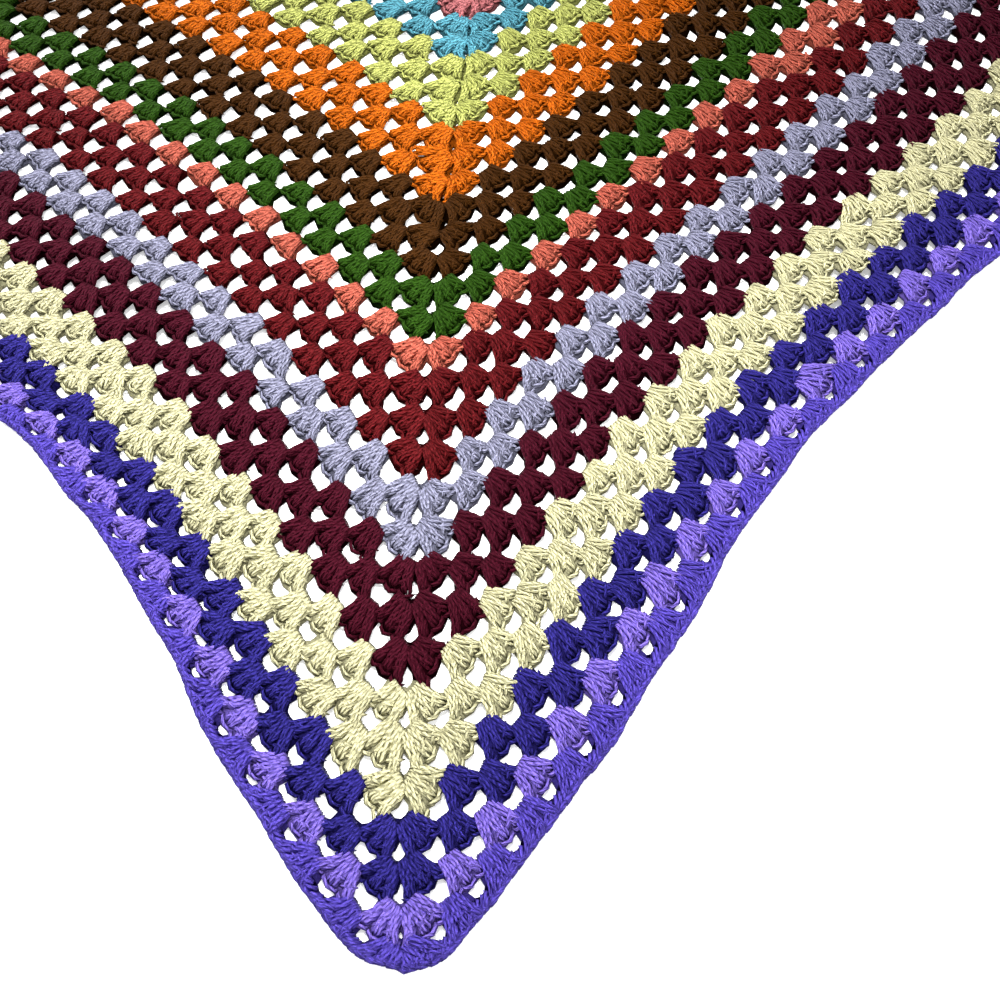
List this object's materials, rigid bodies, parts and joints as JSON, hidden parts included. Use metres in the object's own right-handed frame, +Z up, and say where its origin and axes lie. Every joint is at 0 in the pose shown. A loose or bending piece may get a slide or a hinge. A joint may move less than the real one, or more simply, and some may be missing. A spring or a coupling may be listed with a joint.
{
  "type": "crochet granny square afghan",
  "caption": "Square crocheted afghan of striped rounds with open gaps between the clusters, laid flat with one corner pulled long.",
  "frame": {"origin": "middle of the square, on the flat underside of the cloth", "axes": "+Z up out of the cloth, -Y along the diagonal to the corner that is pulled long, +X along the other diagonal"},
  "size_m": [1.3692, 1.3734, 0.0099],
  "materials": {
    "pink": "matte worsted yarn",
    "sky_blue": "matte worsted yarn",
    "lime": "matte worsted yarn",
    "orange": "matte worsted yarn",
    "brown": "matte worsted yarn",
    "green": "matte worsted yarn",
    "coral": "matte worsted yarn",
    "dark_red": "matte worsted yarn",
    "lavender": "matte worsted yarn",
    "burgundy": "matte worsted yarn",
    "cream": "matte worsted yarn",
    "indigo": "matte worsted yarn",
    "lilac": "matte worsted yarn",
    "violet": "matte worsted yarn"
  },
  "bodies": {
    "root": {"afghan": "violet"}
  },
  "joints": []
}
